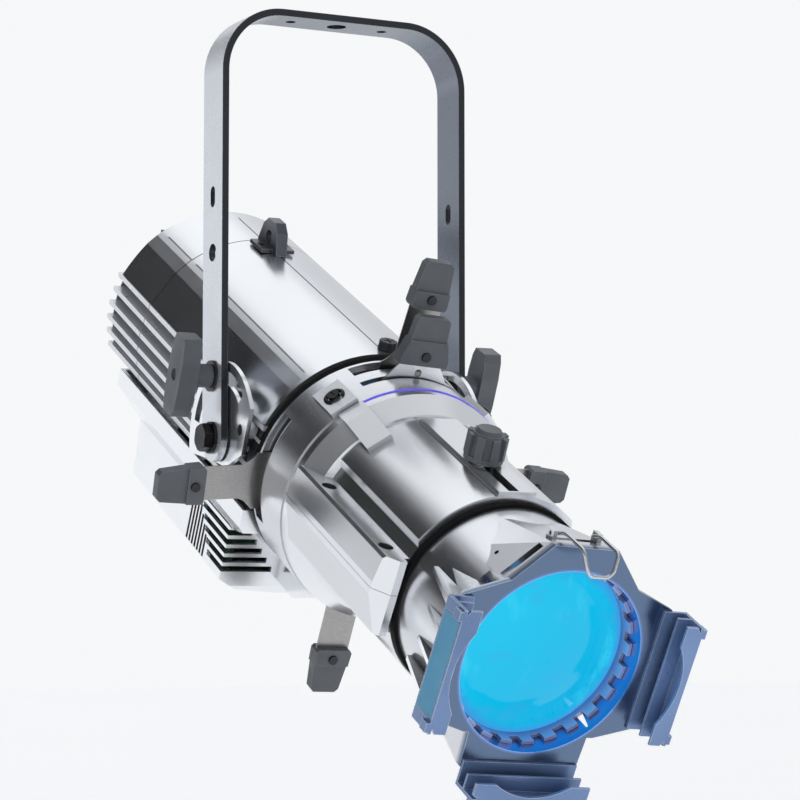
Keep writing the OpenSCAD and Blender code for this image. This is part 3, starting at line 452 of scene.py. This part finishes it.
# ---------------------------------------------------------------- softened edges
# bevel width in millimetres: the CAD pieces that take it
BEVELS = {
    1.3: "tee_handle_left tee_handle_right",
    1.1: "pattern_grip shutter_left_grip shutter_right_grip shutter_top_grip "
         "shutter_bottom_grip",
    0.7: "yoke_bar front_cowl safety_eyelet barrel_upper barrel_lower",
    0.6: "rear_cap lower_housing shutter_cover",
    0.5: "tube_front fan_frame",
    0.45: "fin_panel_left fin_panel_right quadrant_plates focus_knob",
    0.35: "pivot_bolts lens_retaining_ring rear_panel power_sockets data_sockets",
    0.3: "pivot_washers frame_holder button_1 button_2 button_3 button_4",
    0.25: "lock_knob barrel_screws",
    0.2: "housing_screws pattern_holder",
    0.15: "shutter_left_blade shutter_right_blade shutter_top_blade shutter_bottom_blade",
    0.12: "label_plate",
}


def soften(piece, width):
    bevel = piece.modifiers.new("soft edges", "BEVEL")
    bevel.width = width / 1000
    bevel.segments = 3 if width > 0.9 else 2
    bevel.limit_method = "ANGLE"
    bevel.angle_limit = math.radians(34)
    bevel.use_clamp_overlap = True
    bevel.harden_normals = False
    piece.modifiers.new("face weights", "WEIGHTED_NORMAL").keep_sharp = True


for width, names in BEVELS.items():
    for name in names.split():
        soften(NODES[name], width)


# ---------------------------------------------------------------- pieces built here
def mesh_object(name, bm, material):
    mesh = bpy.data.meshes.new(name)
    bm.to_mesh(mesh)
    bm.free()
    piece = bpy.data.objects.new(name, mesh)
    bpy.context.scene.collection.objects.link(piece)
    mesh.materials.append(material)
    return piece


def finish_piece(name, bm, material, body):
    """A smooth piece that rides on body."""
    bmesh.ops.recalc_face_normals(bm, faces=bm.faces)
    piece = mesh_object(name, bm, material)
    for face in piece.data.polygons:
        face.use_smooth = True
    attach(piece, body)
    return piece


def sweep(name, points, radius, body, slot, sides, flat=1.0, up=RISE):
    """A closed-ended wire through the points; flat scales it across its first side."""
    bm = bmesh.new()
    last = len(points) - 1
    tangents = [(points[min(i + 1, last)] - points[max(i - 1, 0)]).normalized()
                for i in range(last + 1)]
    side = tangents[0].cross(up).normalized()
    rings = []
    for point, tangent in zip(points, tangents):
        side = (side - tangent * side.dot(tangent)).normalized()
        other = tangent.cross(side)
        row = []
        for k in range(sides):
            angle = 2 * math.pi * k / sides
            reach = side * math.cos(angle) + other * math.sin(angle) * flat
            row.append(bm.verts.new(point + reach * radius))
        rings.append(row)
    for near, far in zip(rings, rings[1:]):
        for k in range(sides):
            j = (k + 1) % sides
            bm.faces.new((near[k], near[j], far[j], far[k]))
    bm.faces.new(list(reversed(rings[0])))
    bm.faces.new(rings[-1])
    return finish_piece(name, bm, SLOTS[slot], body)


def rounded(path, radius, steps=7):
    """The polyline with each corner replaced by a curve that starts radius before it."""
    points = [path[0]]
    for before, corner, after in zip(path, path[1:], path[2:]):
        back, ahead = before - corner, after - corner
        cut = min(radius, back.length * 0.45, ahead.length * 0.45)
        start = corner + back.normalized() * cut
        end = corner + ahead.normalized() * cut
        for i in range(steps + 1):
            t = i / steps
            points.append(start * (1 - t) ** 2 + corner * 2 * t * (1 - t) + end * t ** 2)
    points.append(path[-1])
    return points


def clip_wire():
    """The sprung clip as one round bent wire."""
    face = 326
    # right half from the end to the middle: x, y, depth in the barrel's frame
    half = [(15.2, 75.6, face - 17), (12, 75.6, face - 17), (12, 79.4, face - 9),
            (12, 79.4, face + 14), (9, 69, face + 19), (6, 65.6, face + 19)]
    bends = half + [(-x, y, depth) for x, y, depth in reversed(half)]
    path = rounded([barrel_point(*bend) for bend in bends], radius=0.0034)
    clip = sweep("clip_wire", path, radius=0.0012, body="frame_clip", slot="zinc", sides=16)
    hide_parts("frame_clip")


def pad_clip(name, degrees):
    """An open loop of flattened wire on a pad of the shutter cover, under its screw."""
    pad_radius, loop_depth, loop_radius = 85.3, 84, 6.2
    first, sweep_angle, steps = 40, 280, 24
    cosine, sine = math.cos(math.radians(degrees)), math.sin(math.radians(degrees))
    points = []
    for i in range(steps + 1):
        t = math.radians(first + sweep_angle * i / steps)
        across = loop_radius * math.sin(t)
        points.append(barrel_point(pad_radius * cosine - across * sine,
                                   pad_radius * sine + across * cosine,
                                   loop_depth + loop_radius * math.cos(t)))
    # roughly outward: the direction from the frame's origin to a point 1 m out over the pad
    outward = barrel_point(cosine * 1000, sine * 1000, 0).normalized()
    sweep(name, points, radius=0.00125, body="barrel", slot="black_steel", sides=10, flat=0.5,
          up=outward)


def seam_glow():
    """Thin arc of coloured light that leaks at the seam between the cover and the barrel."""
    inner, outer, rear, front = 80.75, 81.25, 100.42, 100.95
    start, stop, steps = 36, 134, 96
    profile = [(inner, rear), (outer, rear), (outer, front), (inner, front)]
    bm = bmesh.new()
    rows = []
    for k in range(steps + 1):
        t = math.radians(start + (stop - start) * k / steps)
        rows.append([bm.verts.new(barrel_point(r * math.cos(t), r * math.sin(t), depth))
                     for r, depth in profile])
    for near, far in zip(rows, rows[1:]):
        for i in range(4):
            j = (i + 1) % 4
            bm.faces.new((near[i], far[i], far[j], near[j]))
    bm.faces.new(rows[0])
    bm.faces.new(list(reversed(rows[-1])))
    finish_piece("seam_glow", bm, seam_material, "barrel")


clip_wire()
pad_clip("pad_clip_right", degrees=48)
pad_clip("pad_clip_left", degrees=132)
seam_glow()


# ---------------------------------------------------------------- floor
def floor():
    """Pale floor, a little brighter to the camera than to the pieces."""
    height, half = -0.95, 20
    base_glow, camera_glow = 0.2, 0.14
    graph = material_graph("pale_floor")
    colour = graph.mix(graph.noise(scale=0.8), (0.93, 0.93, 0.935), (0.90, 0.90, 0.905))
    normal = graph.grain(60, strength=0.02, distance=0.001)
    seen = graph.new("ShaderNodeLightPath").outputs["Is Camera Ray"]
    glow = graph.math("ADD", graph.times(seen, camera_glow), base_glow)
    material = graph.surface(colour, rough=0.75, normal=normal,
                             Emission_Color=(0.97, 0.98, 1.0, 1), Emission_Strength=glow)
    bm = bmesh.new()
    bm.faces.new([bm.verts.new((x * half, y * half, height))
                  for x, y in ((-1, -1), (1, -1), (1, 1), (-1, 1))])
    mesh_object("floor", bm, material)


floor()

# ---------------------------------------------------------------- world
# strips of light and dark about the beam: share of the turn, brightness
STRIPS = [(0.0, 0.12), (0.05, 0.48), (0.10, 0.92), (0.15, 1.0), (0.39, 1.0), (0.43, 0.62),
          (0.52, 0.60), (0.61, 0.72), (0.645, 1.0), (0.80, 1.0), (0.835, 0.45), (0.865, 0.05),
          (0.90, 0.012), (0.97, 0.012)]


def background(graph, colour, strength):
    node = graph.new("ShaderNodeBackground")
    graph.put_colour(node.inputs["Color"], colour)
    node.inputs["Strength"].default_value = strength
    return node.outputs[0]


def studio():
    """Strips along the beam light the pieces; the camera sees a plain pale backdrop."""
    world = bpy.data.worlds.new("studio")
    bpy.context.scene.world = world
    graph = Graph(world, output="ShaderNodeOutputWorld", space="Generated")
    across = graph.vector("DOT_PRODUCT", graph.place, ACROSS)
    rise = graph.vector("DOT_PRODUCT", graph.place, RISE)
    turn = graph.math("ARCTAN2", rise, across)
    share = graph.math("MULTIPLY_ADD", turn, 1 / (2 * math.pi), 0.5)
    ramp = graph.new("ShaderNodeValToRGB")
    graph.put(ramp.inputs[0], share)
    stops = ramp.color_ramp.elements
    while len(stops) > 1:
        stops.remove(stops[-1])
    position, value = STRIPS[0]
    stops[0].position = position
    stops[0].color = (value, value, value, 1)
    for position, value in STRIPS[1:]:
        stops.new(position).color = (value * 0.97, value * 0.985, min(1, value * 1.02), 1)
    strips = ramp.outputs[0]

    # ahead of the fixture it is softer and dimmer, and falls off downwards
    forward = graph.vector("DOT_PRODUCT", graph.place, FORWARD)
    ahead = graph.span(forward, over=(-0.45, 0))
    height = graph.new("ShaderNodeSeparateXYZ")
    graph.put(height.inputs[0], graph.place)
    fall = graph.span(height.outputs["Z"], over=(-0.7, 0.9), to=(0.22, 0.74))
    haze = 0.45
    soft = graph.mix(haze, strips, (0.6, 0.61, 0.63))
    dim = graph.mix(1.0, soft, fall, blend="MULTIPLY")
    light = background(graph, graph.mix(ahead, strips, dim), strength=1.12)
    backdrop = background(graph, (0.93, 0.935, 0.945), strength=1.0)
    pick = graph.new("ShaderNodeMixShader")
    seen = graph.new("ShaderNodeLightPath").outputs["Is Camera Ray"]
    for socket, source in zip(pick.inputs, (seen, light, backdrop)):
        graph.put(socket, source)
    graph.put(graph.output.inputs[0], pick.outputs[0])


studio()


# ---------------------------------------------------------------- lights
def softbox(name, place, size, power):
    """A rectangular light aimed at the pivot and hidden from reflections."""
    light = bpy.data.lights.new(name, "AREA")
    light.shape = "RECTANGLE"
    light.size, light.size_y = size
    light.energy = power
    lamp = bpy.data.objects.new(name, light)
    lamp.location = place
    lamp.rotation_mode = "QUATERNION"
    lamp.rotation_quaternion = (PIVOT - Vector(place)).to_track_quat("-Z", "Y")
    bpy.context.scene.collection.objects.link(lamp)
    lamp.visible_glossy = False


softbox("key", place=(1.1, 0.9, 1.5), size=(1.2, 0.9), power=16)
softbox("left", place=(-1.9, -0.9, 0.2), size=(0.9, 1.4), power=5)
softbox("front", place=(0.5, -2.2, 0.7), size=(1.2, 0.8), power=4)


# ---------------------------------------------------------------- camera
def camera():
    """In front of the fixture, to the -X side and a little below it."""
    azimuth, elevation = math.radians(-27.262002), math.radians(-4.636771)
    shift_right, shift_up, distance = 0.044145, 0.028682, 1.89891
    back = Vector((math.sin(azimuth) * math.cos(elevation),
                   -math.cos(azimuth) * math.cos(elevation), math.sin(elevation)))
    right = Vector((math.cos(azimuth), math.sin(azimuth), 0))
    up = back.cross(right)
    place = PIVOT + right * shift_right + up * shift_up + back * distance
    lens = bpy.data.cameras.new("camera")
    lens.sensor_width = 36
    lens.lens = 124.644
    viewer = bpy.data.objects.new("camera", lens)
    turn = Matrix((right, up, back)).transposed().to_4x4()
    viewer.matrix_world = Matrix.Translation(place) @ turn
    bpy.context.scene.collection.objects.link(viewer)
    bpy.context.scene.camera = viewer


camera()
bpy.context.scene.view_settings.view_transform = "Standard"
